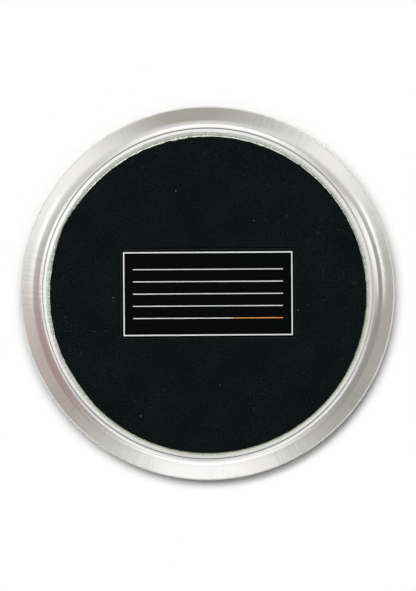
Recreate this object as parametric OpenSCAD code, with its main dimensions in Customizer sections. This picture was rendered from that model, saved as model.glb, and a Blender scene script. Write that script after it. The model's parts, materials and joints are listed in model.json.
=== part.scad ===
// Round coaster: a shallow dish of bent sheet glass with a paper print glued under its floor,
// metal leaf on the back of its rim, a felt backing, and a small label on the felt.
// Sizes are in millimetres. The origin is the middle of the felt's underside, which rests on the
// table, and +Z points up out of the dish. The label's long side lies along X.

/* [Glass dish] */
// Diameter across the rim
dish_d = 108; // [90:0.5:140]
// Width of the rim, from the edge of the flat floor to the outside, seen from above
rim_w = 6.25; // [5:0.05:8]
// Thickness of the sheet glass
glass_t = 3.2; // [2:0.1:4]
// Inside radius of the bend between the floor and the rim
bend_r = 1.2; // [0.6:0.1:1.5]
// Slope of the rim above the floor, in degrees
rim_angle = 36; // [25:1:45]

/* [Rim leaf] */
// Thickness of the metal leaf with the size and varnish that hold it
leaf_t = 0.15; // [0.12:0.01:0.18]
// Width of the fine groove in the leaf where the floor meets the bend
groove_w = 0.45; // [0.2:0.05:0.5]
// Depth of that groove
groove_depth = 0.08; // [0.04:0.01:0.1]
// Distance from the edge of the flat floor in to the middle of the groove
groove_inset = 0.25; // [0.25:0.05:0.35]

/* [Paper print] */
// Thickness of the printed paper
print_t = 0.2; // [0.1:0.05:0.5]
// Distance from the felt's edge in to the paper's edge
print_inset = 0.3; // [0.1:0.05:2]
// Thickness of the clear glue between the glass and the paper
print_glue_t = 0.1; // [0.05:0.05:0.3]

/* [Felt backing] */
// Thickness of the felt
felt_t = 1; // [0.6:0.1:3]
// Distance from the edge of the flat floor in to the felt's edge
felt_inset = 2.25; // [1.8:0.05:4]
// Thickness of the glue between the paper and the felt
backing_glue_t = 0.1; // [0.05:0.05:0.3]

/* [Edge sealant] */
// Width of the dried bead on the leaf, from the felt's edge outwards
bead_w = 1; // [0.5:0.1:1.1]
// Height of the bead's lower edge above the table
bead_clearance = 0.5; // [0.1:0.05:0.5]

/* [Label] */
// Length of the label
label_l = 50; // [20:0.5:56]
// Width of the label
label_w = 25.5; // [10:0.5:30]
// Thickness of the label
label_t = 0.15; // [0.1:0.05:0.2]
// Thickness of the glue under the label
label_glue_t = 0.05; // [0.05:0.05:0.1]
// Depth of the label's face behind the felt's underside
label_set_back = 0.05; // [0.05:0.05:0.1]
// Gap between the label's edge and the felt pressed down round it
label_clearance = 0.1; // [0.05:0.05:0.5]
// Turn of the label, as it was glued on by hand, in degrees
label_turn = 0.35; // [0:0.05:3]

/* [Hidden] */
$fn = 180;

// How far a cutter passes through the face that it cuts
cut_through = 1;

// Heights of the layers, counted up from the table
backing_glue_z = felt_t;
print_z = backing_glue_z + backing_glue_t;
print_glue_z = print_z + print_t;
glass_z = print_glue_z + print_glue_t;
leaf_z = glass_z - leaf_t;

// Radii, counted in from the rim
dish_r = dish_d / 2;
floor_r = dish_r - rim_w;
groove_r = floor_r - groove_inset;
felt_r = floor_r - felt_inset;
print_r = felt_r - print_inset;
bead_r = felt_r + bead_w;

// Bend of the glass: the centre of its section, and the radius of its outer side
bend_centre = [floor_r, glass_z + glass_t + bend_r];
bend_outer_r = bend_r + glass_t;

// Half-round edge: its radius, the straight stretch of rim before it, and the centre of its section
edge_r = glass_t / 2;
rim_mid_r = bend_r + edge_r;
rim_len = (rim_w - edge_r - rim_mid_r * sin(rim_angle)) / cos(rim_angle);
edge_centre = bend_centre + rim_mid_r * [sin(rim_angle), -cos(rim_angle)]
              + rim_len * [cos(rim_angle), sin(rim_angle)];

// Short straight pieces in each round stretch of the section, and how many of those on the edge
// the leaf covers before the bare glass begins
bend_steps = 6;
edge_steps = 12;
leaf_steps = 2;
leaf_end = rim_angle - 90 + 180 * leaf_steps / edge_steps;

// Heights of the label's layers and of the place that is pressed into the felt for it
label_glue_z = label_set_back + label_t;
pocket_depth = label_glue_z + label_glue_t;

// Flat disc of one layer of the stack, with its underside at height z
module layer(r, z, t) {
    translate([0, 0, z]) cylinder(r = r, h = t);
}

// Flat rectangle centred on the label's place, turned as the label is
module label_block(l, w, z, t) {
    rotate([0, 0, -label_turn])
        translate([-l / 2, -w / 2, z]) cube([l, w, t]);
}

// Points of a round stretch about a centre, from one angle to another
function arc(centre, r, from, to, steps) =
    [for (i = [0 : steps]) let (a = from + (to - from) * i / steps) centre + r * [cos(a), sin(a)]];

// Half section of the glass: flat floor, round bend, straight rim and half-round edge
module glass_section() {
    polygon(concat(
        [[0, glass_z]],
        arc(bend_centre, bend_outer_r, -90, rim_angle - 90, bend_steps),
        arc(edge_centre, edge_r, rim_angle - 90, rim_angle + 90, edge_steps),
        arc(bend_centre, bend_r, rim_angle - 90, -90, bend_steps),
        [[0, glass_z + glass_t]]
    ));
}

// Half section of the leaf: along the underside of the glass, round its edge, and back one thickness
// further out, with the groove on the way
module leaf_section() {
    polygon(concat(
        [[felt_r, glass_z]],
        arc(bend_centre, bend_outer_r, -90, rim_angle - 90, bend_steps),
        arc(edge_centre, edge_r, rim_angle - 90, leaf_end, leaf_steps),
        arc(edge_centre, edge_r + leaf_t, leaf_end, rim_angle - 90, leaf_steps),
        arc(bend_centre, bend_outer_r + leaf_t, rim_angle - 90, -90, bend_steps),
        [[groove_r + groove_w / 2, leaf_z], [groove_r, leaf_z + groove_depth],
         [groove_r - groove_w / 2, leaf_z], [felt_r, leaf_z]]
    ));
}

// Clear glass dish that the drink stands in
module glass_dish() {
    color([0.80, 0.86, 0.84, 0.45]) rotate_extrude() glass_section();
}

// Silver-coloured metal leaf on the back of the rim
module rim_leaf() {
    color([0.76, 0.76, 0.74]) rotate_extrude() leaf_section();
}

// Clear glue film between the glass floor and the print
module print_glue() {
    color([0.92, 0.92, 0.88, 0.5]) layer(print_r, print_glue_z, print_glue_t);
}

// Printed paper disc, face up under the glass
module print_sheet() {
    color([0.90, 0.86, 0.76]) layer(print_r, print_z, print_t);
}

// Glue film between the paper and the felt
module backing_glue() {
    color([0.85, 0.83, 0.76]) layer(print_r, backing_glue_z, backing_glue_t);
}

// Black felt disc with the label's place pressed into its underside
module backing_felt() {
    color([0.08, 0.09, 0.09]) difference() {
        layer(felt_r, 0, felt_t);
        label_block(label_l + 2 * label_clearance, label_w + 2 * label_clearance,
                    -cut_through, pocket_depth + cut_through);
    }
}

// Bead of dried clear glue round the edges of the paper and the felt, in the corner under the leaf
module edge_sealant() {
    color([0.75, 0.78, 0.74, 0.6]) rotate_extrude()
        polygon([[print_r, felt_t], [print_r, glass_z], [felt_r, glass_z], [felt_r, leaf_z],
                 [bead_r, leaf_z], [felt_r, bead_clearance], [felt_r, felt_t]]);
}

// Black card label, with its face just behind the felt's underside
module label() {
    color([0.03, 0.03, 0.03]) label_block(label_l, label_w, label_set_back, label_t);
}

// Glue film between the label and the felt
module label_glue() {
    color([0.85, 0.83, 0.76]) label_block(label_l, label_w, label_glue_z, label_glue_t);
}

glass_dish();
rim_leaf();
print_glue();
print_sheet();
backing_glue();
backing_felt();
edge_sealant();
label();
label_glue();
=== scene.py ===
# %% [markdown]
# # A round glass coaster, seen from its back
# The coaster is a shallow dish of bent glass with a paper print glued under its floor, and black felt
# over the back of the print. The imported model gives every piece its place, so the first step loads it.
# Everything below is in metres, in the model's own frame: +Z points up out of the dish.

# %% Load the frame
import json
import math

import bpy
import numpy as np
from mathutils import Matrix, Vector


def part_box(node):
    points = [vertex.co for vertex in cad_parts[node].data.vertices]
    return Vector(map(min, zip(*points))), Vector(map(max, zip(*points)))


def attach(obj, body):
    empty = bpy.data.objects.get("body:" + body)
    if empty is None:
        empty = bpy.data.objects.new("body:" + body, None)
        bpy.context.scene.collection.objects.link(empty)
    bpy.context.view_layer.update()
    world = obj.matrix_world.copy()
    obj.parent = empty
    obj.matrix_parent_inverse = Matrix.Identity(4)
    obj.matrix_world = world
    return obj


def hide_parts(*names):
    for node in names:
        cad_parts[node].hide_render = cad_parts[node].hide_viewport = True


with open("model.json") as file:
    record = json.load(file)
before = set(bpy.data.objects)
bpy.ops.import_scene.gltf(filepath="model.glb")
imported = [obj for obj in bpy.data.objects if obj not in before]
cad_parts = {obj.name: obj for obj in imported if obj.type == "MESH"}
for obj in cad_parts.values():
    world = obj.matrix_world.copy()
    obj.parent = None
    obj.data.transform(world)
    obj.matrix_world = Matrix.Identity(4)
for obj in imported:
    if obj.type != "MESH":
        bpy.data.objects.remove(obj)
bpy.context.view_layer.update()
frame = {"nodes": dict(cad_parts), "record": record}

print("nodes:", sorted(frame["nodes"]))

# %% [markdown]
# Sizes come from the frame, so the new pieces stay where the solids are. A box gives a layer's radius
# and its lowest and highest point, and the mount on the dish's floor gives the height of the glass there.

# %% Read the sizes
MM = 0.001


def layer(node):
    """Radius, lowest height and highest height of a round node."""
    low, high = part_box(node)
    return max(high.x, -low.x, high.y, -low.y), low.z, high.z


DISH_R, GLASS_Z, RIM_TOP = layer("glass_dish")
FELT_R, FELT_FACE, FELT_TOP = layer("backing_felt")
PRINT_R, _, PRINT_TOP = layer("print_sheet")
BEAD_R, BEAD_LOW, _ = layer("edge_sealant")
_, LEAF_Z, _ = layer("rim_leaf")
_, LABEL_FACE, LABEL_BACK = layer("label")
POCKET_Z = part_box("label_glue")[1].z
MOUNT_AT = {mount["name"]: mount["pos_m"] for mount in frame["record"]["mounts"]}
FLOOR_Z = MOUNT_AT["well_floor"][2]
GLASS_T = FLOOR_Z - GLASS_Z
LEAF_T = GLASS_Z - LEAF_Z
FLOOR_R = 47.75 * MM
BEND_R = 1.2 * MM
GROOVE_R = 47.5 * MM
GROOVE_W = 0.45 * MM
GROOVE_DEPTH = 0.05 * MM
LABEL_L = 50 * MM
LABEL_W = 25.5 * MM
LABEL_TURN = math.radians(-0.35)
print(f"dish {2000 * DISH_R:.1f} mm across and {1000 * RIM_TOP:.2f} mm high, glass {1000 * GLASS_T:.2f} mm")

# %% [markdown]
# Every piece here goes once round the middle, so one helper turns a grid of points into a closed mesh:
# the columns run round and join up, and the rows follow the section. The ends of the rows either meet,
# as on a ring, or close on a middle point, as on a disc. A closed mesh has a signed volume, which tells
# whether the faces point outwards.

# %% Grid to mesh
def polar(radius, height, angle):
    """Points at a radius and an angle about the Z axis, and at a height: (r cos a, r sin a, z)."""
    radius, height, angle = np.broadcast_arrays(radius, height, angle)
    return np.stack([radius * np.cos(angle), radius * np.sin(angle), height], axis=-1)


def turns(count):
    """Equal angles for one full turn."""
    return np.linspace(0, 2 * np.pi, count, endpoint=False)


def strips(index):
    """Quads between neighbouring rows and columns of a grid of vertex numbers whose columns join up."""
    beside = np.roll(index, -1, axis=1)
    return np.stack([index[:-1], beside[:-1], beside[1:], index[1:]], axis=-1).reshape(-1, 4).tolist()


def closed_faces(rows, columns, ring):
    """Faces of a closed grid. A ring's rows join up too, and otherwise fans to two added points close it."""
    index = np.arange(rows * columns).reshape(rows, columns)
    if ring:
        return strips(np.concatenate([index, index[:1]]))
    beside = np.roll(index, -1, axis=1)
    middle = np.full(columns, index.size)
    fans = np.concatenate([np.stack([beside[0], index[0], middle], axis=-1),
                           np.stack([index[-1], beside[-1], middle + 1], axis=-1)])
    return strips(index) + fans.tolist()


def make_piece(name, points, finish, node, ring=False, sharp=40):
    """Make a closed mesh from a grid of points, faces outwards, and let it ride on the coaster's body.
    The signed volume is the sum over triangles of a . (b x c) / 6, and a negative one flips the faces."""
    rows, columns = points.shape[:2]
    vertices = points.reshape(-1, 3)
    if not ring:
        vertices = np.concatenate([vertices, points[[0, -1]].mean(axis=1)])
    mesh = bpy.data.meshes.new(name)
    mesh.from_pydata(vertices.tolist(), [], closed_faces(rows, columns, ring))
    mesh.calc_loop_triangles()
    corners = np.empty(3 * len(mesh.loop_triangles), int)
    mesh.loop_triangles.foreach_get("vertices", corners)
    a, b, c = vertices[corners].reshape(-1, 3, 3).transpose(1, 0, 2)
    volume = (a * np.cross(b, c)).sum() / 6
    if volume < 0:
        mesh.flip_normals()
    mesh.polygons.foreach_set("use_smooth", np.ones(len(mesh.polygons), bool))
    mesh.set_sharp_from_angle(angle=math.radians(sharp))
    place_piece(mesh, finish, node)
    print(f"{name}: {abs(volume) * 1e9:.1f} mm3")


def place_piece(mesh, finish, node=None):
    """Link a finished mesh as a piece on the coaster's body, and hide the node whose place it takes."""
    mesh.materials.append(finish)
    piece = bpy.data.objects.new(mesh.name, mesh)
    bpy.context.scene.collection.objects.link(piece)
    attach(piece, "root")
    if node:
        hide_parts(node)
    mesh.calc_loop_triangles()
    print(f"{mesh.name}: {len(mesh.loop_triangles)} triangles")


# %% [markdown]
# Nothing on a hand-made coaster is perfectly round or flat. Two kinds of smooth unevenness are enough:
# a wave that runs round a circle and meets itself, and a field of ripples over a surface. Both are sums
# of sines with random phases from a fixed seed, so they are the same in every run.

# %% Unevenness
def ripple(angle, least, most, seed):
    """Random wave round a circle, about -1 to 1: the sum of sin(k a + phase_k) over whole numbers k from
    least to most, each weighed by 1 / sqrt(k)."""
    waves = np.arange(least, most + 1)
    phase = np.random.default_rng(seed).uniform(0, 2 * np.pi, waves.size)
    weight = 1 / np.sqrt(waves)
    total = (weight * np.sin(np.multiply.outer(angle, waves) + phase)).sum(axis=-1)
    return total / np.sqrt(2 * (weight ** 2).sum())


def unevenness(x, y, size, seed, count=40):
    """Random field over a plane, about -1 to 1: the sum of sin(2 pi (p . d) / w + phase) over count waves
    with random directions d and with lengths w from about two thirds of size to one and a half times it."""
    rng = np.random.default_rng(seed)
    direction, phase = rng.uniform(0, 2 * np.pi, (2, count))
    along = 2 * np.pi / (size * rng.uniform(0.67, 1.5, count))
    total = np.sin(np.multiply.outer(x, along * np.cos(direction))
                   + np.multiply.outer(y, along * np.sin(direction)) + phase).sum(axis=-1)
    return total / np.sqrt(2 * count)


# %% [markdown]
# Finishes are node trees. One function adds a node, sets its own options, and fills its sockets either
# with a constant or with a link. Colours are written as sRGB hex values, as in a paint program, and turned
# to the linear values that the renderer works with.

# %% Helpers for finishes
# A Mix node has sockets for numbers, vectors and colours. Its two colours are at these
COLOUR_A, COLOUR_B = 6, 7


def linear(code):
    """Linear RGBA of an sRGB hex colour such as '#8090A0'."""
    srgb = np.array([int(code[i:i + 2], 16) for i in (1, 3, 5)]) / 255
    rgb = np.where(srgb <= 0.04045, srgb / 12.92, ((srgb + 0.055) / 1.055) ** 2.4)
    return (*rgb.tolist(), 1.0)


def add(tree, kind, inputs=(), stops=(), **options):
    """Add a shader node. Options are its own settings, and stops gives a colour ramp's places and hex
    colours. Inputs fills the sockets, in their order or by name or number. Each gets a constant, an output
    socket, or a node, which stands for the first of its outputs that is in use."""
    node = tree.nodes.new("ShaderNode" + kind)
    for option, value in options.items():
        setattr(node, option, value)
    for socket, value in inputs.items() if isinstance(inputs, dict) else enumerate(inputs):
        if isinstance(value, bpy.types.Node):
            value = next(output for output in value.outputs if output.enabled)
        if isinstance(value, bpy.types.NodeSocket):
            tree.links.new(value, node.inputs[socket])
        else:
            node.inputs[socket].default_value = value
    for i, (place, code) in enumerate(stops):
        stop = node.color_ramp.elements[i] if i < 2 else node.color_ramp.elements.new(place)
        stop.position, stop.color = place, linear(code)
    return node


def new_finish(name):
    """A new material, its empty tree, and the place on the piece, which the patterns are drawn by."""
    finish = bpy.data.materials.new(name)
    finish.use_nodes = True
    finish.node_tree.nodes.clear()
    print("finish:", name)
    return finish, finish.node_tree, add(finish.node_tree, "TexCoord").outputs["Object"]


def refinish(node, finish):
    """Give a solid that keeps its own mesh a new finish."""
    materials = frame["nodes"][node].data.materials
    materials.clear()
    materials.append(finish)


def per_metre(size_mm):
    """Texture scale that gives a pattern this many millimetres from one feature to the next."""
    return 1000 / size_mm


# %% [markdown]
# A few groups of nodes come up more than once. On a round object, patterns often follow the circle: they
# take the direction from the axis instead of plain coordinates, and so have no seam.

# %% Groups of nodes
def distance(tree, value, middle):
    """How far a value lies from a middle one, on either side."""
    past = add(tree, "Math", [value, middle], operation="SUBTRACT")
    return add(tree, "Math", [past], operation="ABSOLUTE")


def from_axis(tree, place):
    """Distance of a place from the Z axis, and the direction that points there, of length 1."""
    flat = add(tree, "VectorMath", [place, (1, 1, 0)], operation="MULTIPLY")
    return (add(tree, "VectorMath", [flat], operation="LENGTH"),
            add(tree, "VectorMath", [flat], operation="NORMALIZE"))


def outward_strokes(tree, radius, ray, circle, apart_mm, length_mm):
    """Noise drawn out along the rays: strokes so far apart on a circle of this radius, and so long."""
    round_about = add(tree, "VectorMath", {0: ray, "Scale": circle * per_metre(apart_mm)}, operation="SCALE")
    along = add(tree, "Math", [radius, per_metre(length_mm)], operation="MULTIPLY")
    outwards = add(tree, "CombineXYZ", {"Z": along})
    at = add(tree, "VectorMath", [round_about, outwards], operation="ADD")
    return add(tree, "TexNoise", {"Vector": at, "Scale": 1.0, "Detail": 2.0})


def pass_shade(tree, body, colour):
    """A clear body whose shade is simple: rays that only ask for shade pass, and take on a colour."""
    shade = add(tree, "BsdfTransparent", {"Color": linear(colour)})
    return add(tree, "MixShader", [add(tree, "LightPath").outputs["Is Shadow Ray"], body, shade])


# %% [markdown]
# ## The glass dish
# The dish is common sheet glass, bent over a mould in a kiln, with its edge ground half round and polished.
# Clear soda-lime glass is nearly colourless through its thickness and faintly green along it, which an
# absorbing volume gives. Light from a lamp would have to find its way through by chance, so rays that only
# ask for shade pass straight through with a small loss.

# %% Finish: bent soda-lime sheet glass
def clear_glass():
    finish, tree, place = new_finish("bent soda-lime sheet glass, fire polished")
    # Handling leaves a faint film in patches about a fingertip wide, which softens the shine a little
    film = add(tree, "TexNoise", {"Vector": place, "Scale": per_metre(14), "Detail": 4.0})
    rough = add(tree, "MapRange", {
        "Value": film, "From Min": 0.45, "From Max": 0.75, "To Min": 0.01, "To Max": 0.05})
    # Bent glass keeps a slight swell from the mould, drawn here some 8 mm apart
    swell = add(tree, "TexNoise", {"Vector": place, "Scale": per_metre(8), "Detail": 1.0})
    bump = add(tree, "Bump", {"Height": swell, "Strength": 0.12, "Distance": 0.2 * MM})
    glass = add(tree, "BsdfPrincipled", {
        "Base Color": linear("#F7FCFA"), "Roughness": rough, "IOR": 1.52, "Transmission Weight": 1.0,
        "Normal": bump})
    green = add(tree, "VolumeAbsorption", {"Color": linear("#7FD0AC"), "Density": 6.0})
    add(tree, "OutputMaterial", {"Surface": pass_shade(tree, glass, "#EBEDEC"), "Volume": green})
    return finish


# %% [markdown]
# A lathe would turn this shape from its half section, and so does the grid: each row is one point of the
# section, carried once round the axis. The slope of the rim follows from the box of the solid: the centre
# of the half-round edge is known, and so is the centre of the bend, so the straight stretch between them
# has only one place. The paper is glued to the glass with no air between, so the glass reaches a hair
# into the top of the print there.

# %% Piece: glass dish
BITE = 0.01 * MM
RIM_WAVE = 0.025 * MM
RIM_BOW = 0.14 * MM
DOWN = -math.pi / 2
EDGE_R = GLASS_T / 2
BEND = np.array([FLOOR_R, FLOOR_Z + BEND_R])
EDGE = np.array([DISH_R - EDGE_R, RIM_TOP - EDGE_R])
run, rise = EDGE - BEND
SLOPE = math.atan2(rise, run) + math.asin((BEND_R + EDGE_R) / math.hypot(run, rise))
print(f"rim slope {math.degrees(SLOPE):.1f} degrees")


def arc(centre, radius, start, stop, count):
    """Points c + r (cos a, sin a) of a round stretch, from one angle to another."""
    angle = np.linspace(start, stop, count)
    return np.array(centre) + radius * np.stack([np.cos(angle), np.sin(angle)], axis=-1)


def line(start, stop, count):
    """Equal steps along a straight stretch, without its ends."""
    share = np.linspace(0, 1, count + 2)[1:-1, None]
    return np.array(start) * (1 - share) + np.array(stop) * share


def dish_section():
    """Half section of the dish as (radius, height): out along the underside, round the bend, up the rim,
    round the edge, down the inside and in over the floor."""
    bonded = PRINT_TOP - BITE
    outer_bend = arc(BEND, BEND_R + GLASS_T, DOWN, DOWN + SLOPE, 22)
    edge_round = arc(EDGE, EDGE_R, DOWN + SLOPE, SLOPE - DOWN, 40)
    inner_bend = arc(BEND, BEND_R, DOWN + SLOPE, DOWN, 14)
    return np.concatenate([
        line((0, bonded), (PRINT_R, bonded), 10), [(PRINT_R, bonded), (PRINT_R, GLASS_Z)],
        line((PRINT_R, GLASS_Z), (FLOOR_R, GLASS_Z), 6), outer_bend,
        line(outer_bend[-1], edge_round[0], 10), edge_round, line(edge_round[-1], inner_bend[0], 10),
        inner_bend, line((FLOOR_R, FLOOR_Z), (0, FLOOR_Z), 16)])


def round_the_rim(section, around):
    """Carry a half section once round the axis. Glass sags between the bend and the edge as it softens in
    the kiln, by sin^2(pi share) of a small bow, where share runs from 0 at the bend to 1 at the edge. The
    rim also wanders a little in and out and up and down, by a wave that grows with the share."""
    share = np.clip((section[:, :1] - FLOOR_R) / (DISH_R - FLOOR_R), 0, 1)
    radius = section[:, :1] + RIM_WAVE * share * ripple(around, 2, 9, 1)
    height = section[:, 1:] + RIM_WAVE * share * ripple(around, 2, 7, 2)
    return polar(radius, height - RIM_BOW * np.sin(np.pi * share) ** 2, around)


make_piece("glass_dish_bent", round_the_rim(dish_section(), turns(360)), clear_glass(),
           "glass_dish", sharp=30)

# %% [markdown]
# ## The silver leaf on the rim
# The back of the rim is not clear but silver: thin metal leaf is laid in varnish on the glass and brushed
# out towards the edge. It is satin, and the brush leaves fine strokes that run outwards. The fine groove
# where the floor meets the bend is darkened by painted shade, strongest towards +Y and -Y.

# %% Finish: brushed silver leaf
def silver_leaf():
    finish, tree, place = new_finish("metal leaf in varnish, brushed out")
    radius, ray = from_axis(tree, place)
    # Strokes about 0.9 mm from one to the next at the rim, and some 10 mm long
    strokes = outward_strokes(tree, radius, ray, FLOOR_R, 0.9, 10)
    rough = add(tree, "MapRange", {"Value": strokes, "To Min": 0.1, "To Max": 0.17})
    # The leaf is faintly warm in places and faintly green in others, in patches some 20 mm wide
    cloud = add(tree, "TexNoise", {"Vector": place, "Scale": per_metre(20), "Detail": 2.0})
    tint = add(tree, "ValToRGB", [cloud], stops=[(0.35, "#E1DFDE"), (0.5, "#E0E0E0"), (0.65, "#DFE0DE")])
    # Painted shade darkens the groove, strongest towards +Y and -Y and fading out towards +X and -X
    along_y = add(tree, "SeparateXYZ", [ray]).outputs["Y"]
    lies_across = add(tree, "Math", [along_y], operation="ABSOLUTE")
    thick = add(tree, "MapRange", {
        "Value": lies_across, "From Min": 0.35, "From Max": 0.95, "To Min": 0.0, "To Max": 0.85})
    groove_shade = add(tree, "MapRange", {
        "Value": distance(tree, radius, GROOVE_R), "From Min": 0.06 * MM, "From Max": 0.26 * MM,
        "To Min": thick, "To Max": 0.0})
    # The groove's painted shade is mixed into the leaf's colour here
    groove_shaded = add(tree, "Mix", {0: groove_shade, COLOUR_A: tint, COLOUR_B: linear("#3C3E42")}, data_type="RGBA")
    # The brush pressed harder in some places and on the slope, so the strokes come and go
    slope = add(tree, "MapRange", {
        "Value": radius, "From Min": FLOOR_R + 0.5 * MM, "From Max": FLOOR_R + 2 * MM,
        "To Min": 0.2, "To Max": 1.0})
    press = add(tree, "MapRange", {
        "Value": cloud, "From Min": 0.4, "From Max": 0.6, "To Min": 0.0, "To Max": slope})
    relief = add(tree, "Math", [strokes, press], operation="MULTIPLY")
    bump = add(tree, "Bump", {"Height": relief, "Strength": 0.5, "Distance": 0.08 * MM})
    # Where the brush pressed, the leaf is thinner and a little darker
    thin = add(tree, "MapRange", {
        "Value": relief, "From Min": 0.3, "From Max": 0.7, "To Min": 1.02, "To Max": 0.93})
    colour = add(tree, "Mix", {0: 1.0, COLOUR_A: groove_shaded, COLOUR_B: thin},
                 data_type="RGBA", blend_type="MULTIPLY")
    leaf = add(tree, "BsdfPrincipled", {
        "Base Color": colour, "Metallic": 1.0, "Roughness": rough, "Normal": bump})
    add(tree, "OutputMaterial", {"Surface": leaf})
    return finish


# %% [markdown]
# The leaf is a skin over the back of the rim, so its section follows the glass once along the surface and
# once one thickness further out, and the two ends meet. It stops on the rounded edge, where the bare glass
# shows as a thin line of light. The face against the glass reaches a hair into it, so no air shows between
# them from the front.

# %% Piece: rim leaf
LEAF_END = DOWN + SLOPE + math.radians(30)


def leaf_section():
    """Closed half section of the leaf: the outer side from the felt to the edge, with a rounded groove,
    then the side against the glass back to the felt."""
    across = np.linspace(-1, 1, 13)
    groove = np.column_stack([GROOVE_R + GROOVE_W / 2 * across,
                              LEAF_Z + GROOVE_DEPTH * (0.5 + 0.5 * np.cos(np.pi * across))])
    flat = line((FELT_R, LEAF_Z), groove[0], 12)
    outer_bend = arc(BEND, BEND_R + GLASS_T + LEAF_T, DOWN, DOWN + SLOPE, 26)
    outer_edge = arc(EDGE, EDGE_R + LEAF_T, DOWN + SLOPE, LEAF_END, 8)
    inner_edge = arc(EDGE, EDGE_R - BITE, LEAF_END, DOWN + SLOPE, 8)
    inner_bend = arc(BEND, BEND_R + GLASS_T - BITE, DOWN + SLOPE, DOWN, 20)
    return np.concatenate([
        flat, groove, outer_bend, line(outer_bend[-1], outer_edge[0], 8), outer_edge, inner_edge,
        line(inner_edge[-1], inner_bend[0], 6), inner_bend, [(FELT_R, GLASS_Z + BITE)]])


make_piece("rim_leaf_skin", round_the_rim(leaf_section(), turns(480)), silver_leaf(),
           "rim_leaf", ring=True, sharp=50)

# %% [markdown]
# ## The print and its glue
# The side that faces up is not in the photograph, so the paper carries a plain traditional pattern:
# stone marbling, where drops of colour spread on a bath and push each other into cells with dark veins.
# The solid's flat disc is right as it is, so it keeps its mesh and gets this finish.

# %% Finish: stone-marbled paper
def marbled_paper():
    finish, tree, place = new_finish("stone-marbled paper, glue sized")
    # The bath is stirred: slow swirls about 22 mm across and small ones about 5 mm, and how far they push
    stirred = place
    for swirl_mm, reach in ((22, 14 * MM), (5, 2.2 * MM)):
        swirl = add(tree, "TexNoise", {"Vector": place, "Scale": per_metre(swirl_mm), "Detail": 2.0})
        push = add(tree, "VectorMath", [swirl.outputs["Color"], (0.5, 0.5, 0.5)], operation="SUBTRACT")
        stirred = add(tree, "VectorMath", [push, (reach,) * 3, stirred], operation="MULTIPLY_ADD")
    cells = add(tree, "TexVoronoi", {"Vector": stirred, "Scale": per_metre(9)})
    veins = add(tree, "TexVoronoi", {"Vector": stirred, "Scale": per_metre(9)}, feature="DISTANCE_TO_EDGE")
    drops = add(tree, "TexVoronoi", {"Vector": stirred, "Scale": per_metre(4.2)})
    pick = add(tree, "SeparateColor", [cells.outputs["Color"]])
    ground = add(tree, "ValToRGB", [pick.outputs["Red"]], stops=[
        (0.0, "#EDE3CC"), (0.42, "#D9CDB4"), (0.62, "#A9B2B0"), (0.8, "#6F8590"), (0.92, "#B98A5A")])
    ground.color_ramp.interpolation = "CONSTANT"
    drop_pick = add(tree, "SeparateColor", [drops.outputs["Color"]])
    drop_ink = add(tree, "ValToRGB", [drop_pick.outputs["Green"]], stops=[
        (0.0, "#F3ECDA"), (0.45, "#8FA0A4"), (0.7, "#39464D"), (0.86, "#9C5A34")])
    drop_ink.color_ramp.interpolation = "CONSTANT"
    # Each drop has a soft rim where the next colour pushed it back
    drop_edge = add(tree, "MapRange", {
        "Value": drops, "From Min": 0.27, "From Max": 0.31, "To Min": 1.0, "To Max": 0.0})
    inked = add(tree, "Mix", {0: drop_edge, COLOUR_A: ground, COLOUR_B: drop_ink}, data_type="RGBA")
    vein_edge = add(tree, "MapRange", {
        "Value": veins, "From Min": 0.03, "From Max": 0.075, "To Min": 1.0, "To Max": 0.0})
    veined = add(tree, "Mix", {0: vein_edge, COLOUR_A: inked, COLOUR_B: linear("#22282D")}, data_type="RGBA")
    # Paper fibres under the ink, drawn about 0.4 mm apart
    fibres = add(tree, "TexNoise", {"Vector": place, "Scale": per_metre(0.4), "Detail": 3.0})
    fleck = add(tree, "MapRange", {"Value": fibres, "To Min": 0.86, "To Max": 1.08})
    colour = add(tree, "Mix", {0: 1.0, COLOUR_A: veined, COLOUR_B: fleck},
                 data_type="RGBA", blend_type="MULTIPLY")
    bump = add(tree, "Bump", {"Height": fibres, "Strength": 0.2, "Distance": 0.02 * MM})
    paper = add(tree, "BsdfPrincipled", {"Base Color": colour, "Roughness": 0.6, "Normal": bump})
    add(tree, "OutputMaterial", {"Surface": paper})
    return finish


refinish("print_sheet", marbled_paper())

# %% [markdown]
# The glue between paper and glass dries clear, with a trace of milk where it lies thicker. It touches both
# without air, so it has no shine of its own: it only lets light through, with a faint haze.

# %% Finish and piece: clear glue film
GAP = 0.002 * MM
FILM_WANDER = 0.15 * MM


def glue_film():
    finish, tree, place = new_finish("clear-drying glue film, brushed on")
    # Brush marks, drawn about 3 mm apart
    brushed = add(tree, "TexNoise", {"Vector": place, "Scale": per_metre(3), "Detail": 2.0})
    haze = add(tree, "MapRange", {"Value": brushed, "To Min": 0.0, "To Max": 0.05})
    clear = add(tree, "BsdfTransparent", {"Color": linear("#FFFFFF")})
    milk = add(tree, "BsdfDiffuse", {"Color": linear("#F2F0E8")})
    mix = add(tree, "MixShader", [haze, clear, milk])
    add(tree, "OutputMaterial", {"Surface": mix})
    return finish


around = turns(240)
film_r = PRINT_R - FILM_WANDER * (1 + ripple(around, 3, 40, 3))
film_low, film_high = PRINT_TOP + GAP, GLASS_Z - GAP
film_rows = [(0.5, film_low), (1, film_low), (1, film_high), (0.5, film_high)]
film_grid = np.stack([polar(share * film_r, z, around) for share, z in film_rows])
make_piece("print_glue_film", film_grid, glue_film(), "print_glue")

# %% [markdown]
# Behind the paper and behind the label lies white glue that nobody sees once the coaster is put together.
# Its discs keep their meshes and get a plain chalky finish with brush marks.

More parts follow.
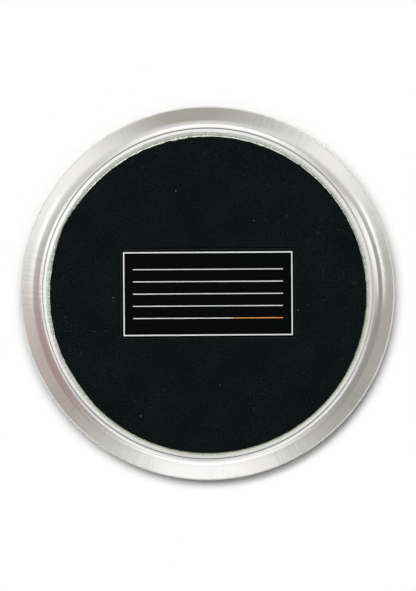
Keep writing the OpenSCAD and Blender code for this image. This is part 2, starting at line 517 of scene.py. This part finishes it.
# %% Finish: dried white glue
def white_glue():
    finish, tree, place = new_finish("dried white glue, brushed on")
    # Brush marks, drawn about 2 mm apart
    brushed = add(tree, "TexNoise", {"Vector": place, "Scale": per_metre(2), "Detail": 3.0})
    colour = add(tree, "ValToRGB", [brushed], stops=[(0.3, "#DAD6C8"), (0.7, "#EAE7DC")])
    bump = add(tree, "Bump", {"Height": brushed, "Strength": 0.3, "Distance": 0.03 * MM})
    glue = add(tree, "BsdfPrincipled", {"Base Color": colour, "Roughness": 0.55, "IOR": 1.47, "Normal": bump})
    add(tree, "OutputMaterial", {"Surface": glue})
    return finish


WHITE_GLUE = white_glue()
refinish("backing_glue", WHITE_GLUE)
refinish("label_glue", WHITE_GLUE)

# %% [markdown]
# ## The felt backing
# The backing is thin black felt with a short pressed nap. It gives back hardly any light, a little more
# where fibres stand across the view, and its colour leans very slightly to green. A few pale specks of
# lint sit in it.

# %% Finish: black wool felt
def black_felt():
    finish, tree, place = new_finish("black wool felt, pressed")
    # Single fibres are far too fine to show, so the tangle is drawn about 0.5 mm apart
    tangle = add(tree, "TexNoise", {
        "Vector": place, "Scale": per_metre(0.5), "Detail": 5.0, "Roughness": 0.7})
    fibre = add(tree, "ValToRGB", [tangle], stops=[(0.32, "#040606"), (0.68, "#1D2222")])
    # Wear comes and goes in patches some 12 mm wide
    cloud = add(tree, "TexNoise", {"Vector": place, "Scale": per_metre(12), "Detail": 2.0})
    worn = add(tree, "ValToRGB", [cloud], stops=[(0.35, "#DCDCDC"), (0.7, "#FFFFFF")])
    colour = add(tree, "Mix", {0: 1.0, COLOUR_A: fibre, COLOUR_B: worn},
                 data_type="RGBA", blend_type="MULTIPLY")
    # Lint: one speck in most squares of 4.5 mm, but only the few with a high random value are kept
    specks = add(tree, "TexVoronoi", {"Vector": place, "Scale": per_metre(4.5)})
    near = add(tree, "MapRange", {
        "Value": specks, "From Min": 0.02, "From Max": 0.05, "To Min": 1.0, "To Max": 0.0})
    chance = add(tree, "SeparateColor", [specks.outputs["Color"]]).outputs["Red"]
    kept = add(tree, "Math", [chance, 0.72], operation="GREATER_THAN")
    lint = add(tree, "Math", [near, kept], operation="MULTIPLY")
    linted = add(tree, "Mix", {0: lint, COLOUR_A: colour, COLOUR_B: linear("#6C716E")}, data_type="RGBA")
    bump = add(tree, "Bump", {"Height": tangle, "Strength": 0.7, "Distance": 0.12 * MM})
    felt = add(tree, "BsdfPrincipled", {
        "Base Color": linted, "Roughness": 0.95, "Specular IOR Level": 0.03, "Sheen Weight": 0.04,
        "Sheen Roughness": 0.5, "Sheen Tint": linear("#8A9692"), "Normal": bump})
    add(tree, "OutputMaterial", {"Surface": felt})
    return finish


FELT = black_felt()

# %% [markdown]
# The felt is a disc with a place pressed into it for the label. Its grid runs along rays from the middle:
# near the label the rows follow the label's outline, and towards the rim they turn into circles, so both
# edges are followed exactly. The cut edge is slightly frayed, more towards -Y than towards +Y, and the face
# has the soft unevenness of felt. It was glued on by hand, about a third of a millimetre off the middle.

# %% Piece: felt backing
FELT_SHIFT = (0.08 * MM, 0.34 * MM)
# Where the scissors slipped: bearing and reach in degrees, and how far out
SLIPS = ((205, 10, 0.40 * MM), (146, 9, -0.28 * MM), (45, 20, 0.14 * MM))
NAP = 0.03 * MM
FRAY = 0.13 * MM
LIP = 0.4 * MM
LABEL_ROOM = 0.2 * MM
FELT_ROUND = 0.3 * MM


def felt_edge(angle):
    """Distance from the axis to the felt's edge along a ray. R + dx cos a + dy sin a is a circle moved by the
    small step (dx, dy), and each slip adds a bump of exp((cos(a - bearing) - 1) / (1 - cos(reach)))."""
    edge = FELT_R + FELT_SHIFT[0] * np.cos(angle) + FELT_SHIFT[1] * np.sin(angle)
    for degrees, reach, out in SLIPS:
        off = 1 - np.cos(angle - math.radians(degrees))
        edge = edge + out * np.exp(-off / (1 - math.cos(math.radians(reach))))
    return edge


def label_reach(angle, half_l, half_w):
    """Distance from the middle to the edge of the turned label along a ray: the nearer of its two sides."""
    own = angle - LABEL_TURN
    return np.minimum(half_l / np.maximum(np.abs(np.cos(own)), 1e-9),
                      half_w / np.maximum(np.abs(np.sin(own)), 1e-9))


around = turns(540)
frayed = (0.65 - 0.35 * np.sin(around)) * (ripple(around, 30, 160, 4) + 0.4 * ripple(around, 4, 12, 5))
felt_r = felt_edge(around) + FRAY * (frayed - 0.8)
pocket_r = label_reach(around, LABEL_L / 2 + LABEL_ROOM, LABEL_W / 2 + LABEL_ROOM)
share = np.linspace(0, 1, 84)[:, None]
face_r = (1 - share) * (pocket_r + LIP) + share * (felt_r - FELT_ROUND)
face_xy = polar(face_r, 0, around)
face_z = FELT_FACE + NAP * (1.2 + 0.6 * unevenness(face_xy[..., 0], face_xy[..., 1], 7 * MM, 6)
                            + 0.4 * unevenness(face_xy[..., 0], face_xy[..., 1], 1.8 * MM, 7))
rise = np.linspace(0, 1, 6)[:, None]
ease = rise ** 2 * (3 - 2 * rise)
edge_turn = np.linspace(0, np.pi / 2, 8)[1:, None]
felt_grid = np.concatenate([
    polar(np.array([[0.1], [0.5], [0.95]]) * pocket_r, POCKET_Z, around),
    polar(pocket_r + LIP * rise[:-1], POCKET_Z + (face_z[0] - POCKET_Z) * ease[:-1], around),
    polar(face_r, face_z, around),
    polar(felt_r - FELT_ROUND * (1 - np.sin(edge_turn)),
          face_z[-1] + FELT_ROUND * (1 - np.cos(edge_turn)), around),
    polar(felt_r, FELT_TOP - np.array([[0.3], [0.0]]) * MM, around),
    polar(np.array([[0.8], [0.3]]) * felt_r, FELT_TOP, around)])
make_piece("backing_felt_disc", felt_grid, FELT, "backing_felt")

# %% [markdown]
# Loose fibres stand out of felt, most of all along its cut edge, where they blur the outline, and short
# hairs of grey lint lie on its face. Each is a thin three-sided strand that tapers to its ends. All strands
# of a kind are worked out together as one array.

# %% Finish: grey lint
def grey_lint():
    finish, tree, place = new_finish("grey lint, loose hairs")
    mixed = add(tree, "TexNoise", {"Vector": place, "Scale": per_metre(6), "Detail": 2.0})
    colour = add(tree, "ValToRGB", [mixed], stops=[(0.35, "#1E2224"), (0.65, "#6A7076")])
    hair = add(tree, "BsdfPrincipled", {"Base Color": colour, "Roughness": 0.8, "Specular IOR Level": 0.2})
    add(tree, "OutputMaterial", {"Surface": hair})
    return finish


# %% Pieces: loose felt fibres and lint
EDGE_FIBRES = 700
LINT_HAIRS = 600
STRAND_R = 0.015 * MM
STRAND_STEPS = 5


def strands(start, heading, length, curl, lift):
    """Thin tapered tubes. A strand's middle line is start + s (cos h, sin h), where its heading h turns by
    curl along it, and its height bows by lift as sin(pi s). Its ring at s is scaled by 1 - 0.8 |2 s - 1|."""
    s = np.linspace(0, 1, STRAND_STEPS)
    turn = heading[:, None] + curl[:, None] * (s - 0.5)
    step = length[:, None] / (STRAND_STEPS - 1)
    x = start[:, :1] + np.cumsum(step * np.cos(turn), axis=1) - step * np.cos(turn)[:, :1]
    y = start[:, 1:2] + np.cumsum(step * np.sin(turn), axis=1) - step * np.sin(turn)[:, :1]
    z = start[:, 2:] - lift[:, None] * np.sin(np.pi * s)
    ring = turns(3)
    size = STRAND_R * (1 - 0.8 * np.abs(2 * s - 1))[:, None]
    across = size * np.cos(ring)
    points = np.stack([x[..., None] - np.sin(turn)[..., None] * across,
                       y[..., None] + np.cos(turn)[..., None] * across,
                       z[..., None] + size * np.sin(ring)], axis=-1)
    index = np.arange(points[..., 0].size).reshape(points.shape[:3])
    beside = np.roll(index, -1, axis=2)
    quads = np.stack([index[:, :-1], index[:, 1:], beside[:, 1:], beside[:, :-1]], axis=-1).reshape(-1, 4)
    return points.reshape(-1, 3), quads.tolist() + index[:, 0].tolist() + index[:, -1, ::-1].tolist()


def strand_piece(name, finish, start, heading, length, rng):
    """Make one mesh of all strands of a kind, each with its own curl and bow."""
    curl = rng.normal(0, 1.4, len(start))
    lift = rng.uniform(0.0, 0.03, len(start)) * MM
    vertices, faces = strands(start, heading, length, curl, lift)
    mesh = bpy.data.meshes.new(name)
    mesh.from_pydata(vertices.tolist(), [], faces)
    place_piece(mesh, finish)


# Fibres are rooted just inside the cut edge, at any height of it, and point roughly outwards
rng = np.random.default_rng(8)
at = rng.uniform(0, 2 * np.pi, EDGE_FIBRES)
start = polar(felt_edge(at) - 0.2 * MM, rng.uniform(0.1, 0.55, EDGE_FIBRES) * MM, at)
heading = at + rng.normal(0, 0.9, EDGE_FIBRES)
strand_piece("felt_fibres", FELT, start, heading, rng.uniform(0.3, 0.8, EDGE_FIBRES) * MM, rng)

# Lint lies anywhere on the face outside the label, in any direction
at = rng.uniform(0, 2 * np.pi, LINT_HAIRS)
start = polar(FELT_R * np.sqrt(rng.uniform(0.32, 0.96, LINT_HAIRS)), 0.03 * MM, at)
heading = rng.uniform(0, 2 * np.pi, LINT_HAIRS)
strand_piece("lint_hairs", grey_lint(), start, heading, rng.uniform(0.3, 1.4, LINT_HAIRS) * MM, rng)

# %% [markdown]
# ## The bead of dried glue
# Glue squeezed out at the edge has dried to a ragged ring between the felt and the glass. Where it stands
# thick against the felt it is milky white, brightened as a painted highlight, and its end there is ragged.
# Further out it is a grey, dusty film that the felt's fibres drew into fine streaks, and the silver shows
# through it in patches. Painted shade darkens it towards -Y. The felt is a little off the middle, so the
# pattern counts its radius from the felt's own middle.

# %% Finish: squeezed-out clear glue
def dried_bead():
    finish, tree, place = new_finish("clear glue, squeezed out and dried")
    own = add(tree, "VectorMath", [place, (*FELT_SHIFT, 0)], operation="SUBTRACT")
    radius, ray = from_axis(tree, own)
    # Streaks about 0.7 mm from one to the next along the felt, and some 3 mm long
    streaks = outward_strokes(tree, radius, ray, FELT_R, 0.7, 3)
    # Lumps about 2 mm apart
    lumps = add(tree, "TexNoise", {"Vector": place, "Scale": per_metre(2), "Detail": 3.0})
    rough = add(tree, "MapRange", {"Value": lumps, "To Min": 0.08, "To Max": 0.3})
    bump = add(tree, "Bump", {"Height": lumps, "Strength": 0.4, "Distance": 0.12 * MM})
    # The white part, milky glue brightened as a painted highlight, ends up to 0.3 mm from the felt, further
    # out in some streaks than in others
    ragged = add(tree, "MapRange", {
        "Value": streaks, "From Min": 0.3, "From Max": 0.7, "To Min": FELT_R, "To Max": FELT_R + 0.3 * MM})
    past = add(tree, "Math", [radius, ragged], operation="SUBTRACT")
    thick = add(tree, "MapRange", {
        "Value": past, "From Min": -0.1 * MM, "From Max": 0.1 * MM, "To Min": 0.9, "To Max": 0.12})
    # Towards -Y, where the felt lies further in, painted shade darkens the glue just past the white part
    along_y = add(tree, "SeparateXYZ", [ray]).outputs["Y"]
    minus_y_shade = add(tree, "MapRange", {
        "Value": along_y, "From Min": -0.9, "From Max": -0.1, "To Min": 0.55, "To Max": 0.0})
    dark = add(tree, "MapRange", {
        "Value": past, "From Min": 0.2 * MM, "From Max": 0.6 * MM, "To Min": minus_y_shade, "To Max": 0.0})
    dusty = add(tree, "ValToRGB", [streaks], stops=[(0.3, "#D8D9D8"), (0.7, "#F4F6F5")])
    shaded = add(tree, "Mix", {0: dark, COLOUR_A: dusty, COLOUR_B: linear("#747674")}, data_type="RGBA")
    # Painted shade darkens the glue a little towards -Y, and towards +Y it turns faintly yellow green
    plus_y_side = add(tree, "VectorMath", [ray, (0.39, 0.92, 0)], operation="DOT_PRODUCT")
    side_share = add(tree, "MapRange", {"Value": plus_y_side, "From Min": -1.0})
    side_tint_and_shade = add(tree, "ValToRGB", [side_share], stops=[
        (0.03, "#DDE2DF"), (0.25, "#FAFFFC"), (0.55, "#FAFFFC"), (0.78, "#F1FBE2")])
    film = add(tree, "Mix", {0: 1.0, COLOUR_A: shaded, COLOUR_B: side_tint_and_shade},
               data_type="RGBA", blend_type="MULTIPLY")
    clear = add(tree, "BsdfPrincipled", {
        "Base Color": film, "Roughness": rough, "IOR": 1.47, "Transmission Weight": 1.0, "Normal": bump})
    # Milky glue against the felt, brightened as a painted highlight
    milk = add(tree, "BsdfPrincipled", {"Base Color": linear("#F8F7EE"), "Roughness": 0.3, "Normal": bump})
    body = add(tree, "MixShader", [thick, clear, milk])
    add(tree, "OutputMaterial", {"Surface": pass_shade(tree, body, "#D8DDD8")})
    return finish


# %% [markdown]
# The bead is a ring that fills the corner round the paper and the felt: up to the glass beside the paper's
# edge, out under the leaf, and down the felt's edge. Its open side is hollow, as glue draws itself into a
# corner, and both its reach over the leaf and its height on the felt vary as it goes round.

# %% Piece: edge sealant
BEAD_OVERLAP = 0.1 * MM
BEAD_WANDER = 0.1 * MM
BEAD_SKIN = 0.05 * MM

around = turns(720)
edge = felt_edge(around)
spread = BEAD_R - FELT_R
outer = FELT_R + spread * (0.98 + 0.05 * ripple(around, 40, 160, 9) + 0.12 * ripple(around, 3, 30, 10))
low = BEAD_LOW + BEAD_WANDER * (ripple(around, 10, 90, 11) - 1.5)
inner = np.minimum(edge, PRINT_R) - BEAD_OVERLAP
hollow = np.linspace(0, 1, 13)[:, None]
bead_rows = [(PRINT_R + GAP, FELT_TOP + GAP), (PRINT_R + GAP, GLASS_Z - GAP), (FELT_R - GAP, GLASS_Z - GAP),
             (FELT_R - GAP, LEAF_Z + BITE), (outer, LEAF_Z + BITE)]
bead_grid = [polar(r, z, around) for r, z in bead_rows]
bead_grid += list(polar(outer + (edge - BEAD_OVERLAP - outer) * hollow ** 0.4,
                        LEAF_Z - BEAD_SKIN * np.sqrt(hollow) + (low - LEAF_Z) * hollow ** 4, around))
bead_grid.append(polar(inner, FELT_TOP - BEAD_OVERLAP, around))
make_piece("edge_sealant_bead", np.stack(bead_grid), dried_bead(), "edge_sealant",
           ring=True, sharp=60)

# %% [markdown]
# ## The label
# A small black card is glued to the middle of the felt. It is coated, so it is blacker and smoother than
# the felt, and has a thin silver border. Its field holds plain rules to write on.

# %% Finish: coated black card with silver lines
BORDER_IN = 0.9 * MM
BORDER_W = 0.36 * MM
RULE_W = 0.25 * MM
RULE_STEP = 3.5 * MM
RULE_LENGTH = 43 * MM


def label_card():
    finish, tree, place = new_finish("coated black card, silver printed")
    turned = add(tree, "Mapping", {"Vector": place, "Rotation": (0, 0, -LABEL_TURN)})
    x, y, _ = add(tree, "SeparateXYZ", [turned]).outputs
    along = add(tree, "Math", [x], operation="ABSOLUTE")
    across = add(tree, "Math", [y], operation="ABSOLUTE")
    # How far a point lies inside the nearest edge of the card
    from_end = add(tree, "Math", [LABEL_L / 2, along], operation="SUBTRACT")
    from_side = add(tree, "Math", [LABEL_W / 2, across], operation="SUBTRACT")
    inside = add(tree, "Math", [from_end, from_side], operation="MINIMUM")
    border = add(tree, "Math", [inside, BORDER_IN, BORDER_W / 2], operation="COMPARE")
    # Rules repeat across the field, and stop short of the border
    phase = add(tree, "Math", [y, RULE_STEP / 2], operation="PINGPONG")
    lines = add(tree, "Math", [phase, RULE_W / 2], operation="LESS_THAN")
    in_length = add(tree, "Math", [along, RULE_LENGTH / 2], operation="LESS_THAN")
    in_field = add(tree, "Math", [across, 2.5 * RULE_STEP], operation="LESS_THAN")
    field = add(tree, "Math", [in_length, in_field], operation="MULTIPLY")
    rules = add(tree, "Math", [lines, field], operation="MULTIPLY")
    printed = add(tree, "Math", [border, rules], operation="MAXIMUM")
    # The right end of the last rule is copper
    last_rule = add(tree, "Math", [y, 1.5 * RULE_STEP], operation="GREATER_THAN")
    right_end = add(tree, "Math", [x, RULE_LENGTH / 6], operation="GREATER_THAN")
    corner = add(tree, "Math", [last_rule, right_end], operation="MULTIPLY")
    copper = add(tree, "Math", [corner, rules], operation="MULTIPLY")
    ink = add(tree, "Mix", {0: copper, COLOUR_A: linear("#E4E5E6"), COLOUR_B: linear("#E39A5C")},
              data_type="RGBA")
    # The cut edge shows the grey core of the card
    cut = add(tree, "MapRange", {
        "Value": inside, "From Min": 0.02 * MM, "From Max": 0.18 * MM, "To Min": 0.35, "To Max": 0.0})
    # The coating has a grain, drawn about 0.6 mm apart
    grain = add(tree, "TexNoise", {"Vector": place, "Scale": per_metre(0.6), "Detail": 3.0})
    black = add(tree, "ValToRGB", [grain], stops=[(0.3, "#050606"), (0.7, "#090A0A")])
    edged = add(tree, "Mix", {0: cut, COLOUR_A: black, COLOUR_B: linear("#5A5C5B")}, data_type="RGBA")
    colour = add(tree, "Mix", {0: printed, COLOUR_A: edged, COLOUR_B: ink}, data_type="RGBA")
    rough = add(tree, "MapRange", {"Value": grain, "To Min": 0.25, "To Max": 0.4})
    bump = add(tree, "Bump", {"Height": grain, "Strength": 0.08, "Distance": 0.02 * MM})
    card = add(tree, "BsdfPrincipled", {
        "Base Color": colour, "Roughness": rough, "Specular IOR Level": 0.015, "Normal": bump})
    add(tree, "OutputMaterial", {"Surface": card})
    return finish


# %% [markdown]
# The card is a flat slab whose rows are smaller and smaller copies of its outline. It lies in the pressed
# place in the felt and follows its gentle cockle, by a few hundredths of a millimetre.

# %% Piece: label
EASE = 0.03 * MM
COCKLE = 0.012 * MM
CARD_STEP = 0.5 * MM


def card_outline(half_l, half_w):
    """Points round a rectangle, its corners among them, turned as the label is."""
    ends = np.array([(-half_l, -half_w), (half_l, -half_w), (half_l, half_w), (-half_l, half_w)])
    loop = np.concatenate([
        np.linspace(a, b, round(np.abs(b - a).sum() / CARD_STEP), endpoint=False)
        for a, b in zip(ends, np.roll(ends, -1, axis=0))])
    cos, sin = math.cos(LABEL_TURN), math.sin(LABEL_TURN)
    return loop @ np.array([[cos, sin], [-sin, cos]])


outline = card_outline(LABEL_L / 2, LABEL_W / 2)
shares = np.linspace(0.06, 1, 26)[:, None, None]
face = shares * card_outline(LABEL_L / 2 - EASE, LABEL_W / 2 - EASE)
cockle = COCKLE * unevenness(face[..., 0], face[..., 1], 14 * MM, 12)
face = np.dstack([face, LABEL_FACE + cockle])
side = np.stack([np.column_stack([outline, np.full(len(outline), z)])
                 for z in (LABEL_FACE + EASE, LABEL_BACK)])
back = shares[::-8][1:] * outline
back = np.dstack([back, np.full(back.shape[:2], LABEL_BACK)])
make_piece("label_card", np.concatenate([face, side, back]), label_card(), "label")

# %% [markdown]
# ## The studio
# The photograph looks straight at the coaster's back as it lies face down on white. The model stands the
# right way up, so for this view its sheet of white paper is above it and the camera below. Each of the two
# sheets, under the felt and over the rim, is paper from one side only and nothing from the other: whichever
# way the coaster is looked at, it lies on a white sheet, and neither sheet hides it or shades it. Each has a
# hole where the coaster covers it, so that the dish does not mirror the sheet of the other view. Away from
# the coaster the camera sees plain white, so the sheet has no end.

# %% Finish: white paper
def white_sheet(near_end, far_end):
    """White paper that turns into plain white for the camera between two radii."""
    finish, tree, place = new_finish("white paper, seen from one side")
    paper = add(tree, "BsdfDiffuse", {"Color": linear("#F8F8F7")})
    glow = add(tree, "Emission", {"Color": linear("#FFFFFF"), "Strength": 0.04})
    near = add(tree, "AddShader", [paper, glow])
    white = add(tree, "Emission", {"Color": linear("#FFFFFF"), "Strength": 1.0})
    radius, _ = from_axis(tree, place)
    away = add(tree, "MapRange", {"Value": radius, "From Min": near_end, "From Max": far_end},
               interpolation_type="SMOOTHSTEP")
    to_camera = add(tree, "LightPath").outputs["Is Camera Ray"]
    fade = add(tree, "Math", [away, to_camera], operation="MULTIPLY")
    front = add(tree, "MixShader", [fade, near, white])
    back = add(tree, "BsdfTransparent", {"Color": linear("#FFFFFF")})
    turned_away = add(tree, "NewGeometry").outputs["Backfacing"]
    mix = add(tree, "MixShader", [turned_away, front, back])
    add(tree, "OutputMaterial", {"Surface": mix})
    return finish


# %% Sheets of white paper
SHEET_R = 3.0
SHEET_GAP = 0.04 * MM
SHEET_SIDES = 96
# Name, height, radius of the hole, +1 or -1 for the side that is paper, and where it turns plain white
SHEETS = (("table_sheet", -SHEET_GAP, FELT_R - 2 * MM, 1, DISH_R + 8 * MM, 3 * DISH_R),
          ("photo_sheet", RIM_TOP + SHEET_GAP, DISH_R - 0.5 * MM, -1, DISH_R, DISH_R + 4 * MM))
for name, height, hole_r, facing, near_end, far_end in SHEETS:
    rows = polar(np.array([[hole_r], [SHEET_R]]), height, turns(SHEET_SIDES)[::facing])
    inner, outer = np.arange(2 * SHEET_SIDES).reshape(2, SHEET_SIDES)
    quads = np.stack([inner, outer, np.roll(outer, -1), np.roll(inner, -1)], axis=-1)
    mesh = bpy.data.meshes.new(name)
    mesh.from_pydata(rows.reshape(-1, 3).tolist(), [], quads.tolist())
    mesh.materials.append(white_sheet(near_end, far_end))
    sheet = bpy.data.objects.new(name, mesh)
    bpy.context.scene.collection.objects.link(sheet)
    sheet.visible_shadow = sheet.visible_diffuse = False
    sheet.visible_transmission = sheet.visible_glossy = facing < 0
    print(f"{name}: at {1000 * height:.2f} mm, its hole {2000 * hole_r:.1f} mm across")

# %% [markdown]
# The light is one long soft lamp at the upper left of the picture, once for the back of the coaster and
# once for its front. Metal and glass do not mirror it, because they have a room of their own below.

# %% Lamps
KEY_PLACE = (-0.42, -0.94, 1.0)
KEY_SIZE = (3.0, 0.4)
KEY_WATTS = 36.0


def soft_lamp(name, place):
    """Long lamp that looks at the coaster."""
    light = bpy.data.lights.new(name, "AREA")
    light.shape = "RECTANGLE"
    light.size, light.size_y = KEY_SIZE
    light.energy = KEY_WATTS
    lamp = bpy.data.objects.new(name, light)
    lamp.location = place
    lamp.rotation_euler = (-Vector(place)).to_track_quat("-Z", "Y").to_euler()
    lamp.visible_transmission = lamp.visible_glossy = False
    bpy.context.scene.collection.objects.link(lamp)
    print(f"{name}: {Vector(place).length:.2f} m away")


soft_lamp("key_back", (*KEY_PLACE[:2], -KEY_PLACE[2]))
soft_lamp("key_front", KEY_PLACE)

# %% [markdown]
# Silver shows the room more than its own colour, so a room is furnished for it. It is the same above and
# below, so only the size of the height counts. The walls are grey, faintly pink at the lower left of the
# picture and faintly yellow elsewhere, and round the camera is a white ceiling.

# %% Room: walls
FROM_PINK = (0.94, -0.34, 0)

world = bpy.data.worlds.new("grey room with white panels")
bpy.context.scene.world = world
world.use_nodes = True
tree = world.node_tree
tree.nodes.clear()
x, y, z = add(tree, "SeparateXYZ", [add(tree, "TexCoord").outputs["Generated"]]).outputs
height = add(tree, "Math", [z], operation="ABSOLUTE")
mirrored = add(tree, "CombineXYZ", [x, y, height])
_, bearing = from_axis(tree, mirrored)
pink, plain = [
    add(tree, "ValToRGB", [height], stops=[(0.3, low), (0.6, high), (0.993, high), (0.998, "#FFFFFF")])
    for low, high in (("#CABBB6", "#B39A97"), ("#BAB8B0", "#A7A49E"))]
sideways = add(tree, "VectorMath", [bearing, FROM_PINK], operation="DOT_PRODUCT")
share = add(tree, "MapRange", {"Value": sideways, "From Min": -1.0, "From Max": -0.8},
            interpolation_type="SMOOTHSTEP")
walls = add(tree, "Mix", {0: share, COLOUR_A: pink, COLOUR_B: plain}, data_type="RGBA")

# %% [markdown]
# On the walls are a tall white panel at the bottom of the picture, two white panels beside a dark doorway at
# the top, and small white reflectors round the camera. Their light adds up. Where white light is strong, it
# hides the tint of the wall behind it.

# %% Room: panels and reflectors
# Large white panels with soft straight edges: brightness, then for each edge a direction across it, and
# where along that direction the light begins and where it is full
FOOT = ((0.0, 1.0, -0.3), -0.05, 0.35)
PANELS = ((0.85, (((-1.0, 0.0, -0.2), -0.80, -0.15), ((1.0, 0.0, -0.2), -0.80, -0.15), FOOT)),
          (0.78, (((-1.5, 1.0, 0.47), -0.64, 0.58), ((-0.18, -1.0, -0.25), -0.46, 0.95))),
          (0.76, (((1.5, 1.0, 0.47), -0.90, 0.60), ((-0.18, -1.0, -0.12), -0.23, 0.69))))
# Small reflectors: bearing and half width in degrees, lowest and highest place as a sine, and brightness
REFLECTORS = ((52, 34, 0.965, 0.995, 0.75), (115, 22, 0.965, 0.995, 0.80), (195, 23, 0.965, 0.998, 0.95),
              (277, 46, 0.945, 0.997, 0.80), (347, 21, 0.85, 0.996, 0.86), (86, 42, 0.84, 0.98, 0.64),
              (195, 26, 0.20, 0.36, 0.40), (346, 22, 0.21, 0.34, 0.78), (180, 75, 0.9955, 1.0045, 0.80))

white = 0.0
for brightness, edges in PANELS:
    panel = brightness
    for across, begin, full in edges:
        at = add(tree, "VectorMath", [mirrored, across], operation="DOT_PRODUCT")
        panel = add(tree, "MapRange", {"Value": at, "From Min": begin, "From Max": full, "To Max": panel},
                    interpolation_type="SMOOTHSTEP")
    white = add(tree, "Math", [white, panel], operation="ADD")
for degrees, half_width, lowest, highest, brightness in REFLECTORS:
    middle, reach = (lowest + highest) / 2, (highest - lowest) / 2
    within = add(tree, "MapRange", {
        "Value": distance(tree, height, middle), "From Min": reach * 0.8, "From Max": reach * 1.2,
        "To Min": brightness, "To Max": 0.0}, interpolation_type="SMOOTHSTEP")
    facing = (math.cos(math.radians(degrees)), math.sin(math.radians(degrees)), 0)
    near = add(tree, "VectorMath", [bearing, facing], operation="DOT_PRODUCT")
    reflector = add(tree, "MapRange", {
        "Value": near, "From Min": math.cos(math.radians(half_width)), "From Max": 1.0, "To Max": within},
        interpolation_type="SMOOTHSTEP")
    white = add(tree, "Math", [white, reflector], operation="ADD")
behind = add(tree, "Mix", {0: white, COLOUR_A: walls, COLOUR_B: linear("#A6A6A6")}, data_type="RGBA")
furnished = add(tree, "VectorMath", [behind, white], operation="ADD")
print(f"room: {len(PANELS)} panels and {len(REFLECTORS)} reflectors")

# %% [markdown]
# Metal and glass show this room, also through each other. Light that falls on felt, card or paper first is
# a plain soft light, mostly from straight ahead, and the camera itself sees white.

# %% Room: who sees it
SOFT_LIGHT = 0.26

path = add(tree, "LightPath").outputs
shine = add(tree, "Math", [path["Is Glossy Ray"], path["Is Transmission Ray"]], operation="MAXIMUM")
not_scattered = add(tree, "Math", [path["Diffuse Depth"], 0.5], operation="LESS_THAN")
soft = add(tree, "Background", {"Color": height, "Strength": SOFT_LIGHT})
shiny = add(tree, "Background", {"Color": furnished, "Strength": 1.0})
sees_room = add(tree, "Math", [shine, not_scattered], operation="MULTIPLY")
room = add(tree, "MixShader", [sees_room, soft, shiny])
pale = add(tree, "Background", {"Color": linear("#FFFFFF"), "Strength": 1.0})
mix = add(tree, "MixShader", [path["Is Camera Ray"], room, pale])
add(tree, "OutputWorld", {"Surface": mix})
print(f"room: {len(tree.nodes)} nodes")

# %% [markdown]
# The camera stands almost straight in front of the back, one degree towards the upper left of the picture,
# and far enough off to flatten the view. The picture's right is +X and its top is -Y. The lens follows from
# how wide the groove is in the photograph.

# %% Camera
PHOTO_SIZE = (416, 591)
PHOTO_GROOVE_R = 165.4
PHOTO_CENTRE = (208.0, 293.7)
CAMERA_DISTANCE = 0.70
LEAN = (math.tan(math.radians(-0.75)), math.tan(math.radians(-0.95)))

camera_data = bpy.data.cameras.new("camera")
camera = bpy.data.objects.new("camera", camera_data)
bpy.context.scene.collection.objects.link(camera)
bpy.context.scene.camera = camera
pixels_per_metre = PHOTO_GROOVE_R / GROOVE_R * (1 + LEAF_Z / CAMERA_DISTANCE)
camera_data.lens = pixels_per_metre * CAMERA_DISTANCE * camera_data.sensor_width / max(PHOTO_SIZE)
aim = Vector(((PHOTO_SIZE[0] / 2 - PHOTO_CENTRE[0]) / pixels_per_metre,
              (PHOTO_SIZE[1] / 2 - PHOTO_CENTRE[1]) / pixels_per_metre, 0))
back = Vector((*LEAN, -1)).normalized()
right = Vector((0, -1, 0)).cross(back).normalized()
up = back.cross(right)
turn = Matrix((right, up, back)).transposed().to_4x4()
camera.matrix_world = Matrix.Translation(aim + CAMERA_DISTANCE * back) @ turn
camera_data.clip_start, camera_data.clip_end = 0.05, 20
bpy.context.scene.view_settings.view_transform = "Standard"
print(f"lens {camera_data.lens:.0f} mm")
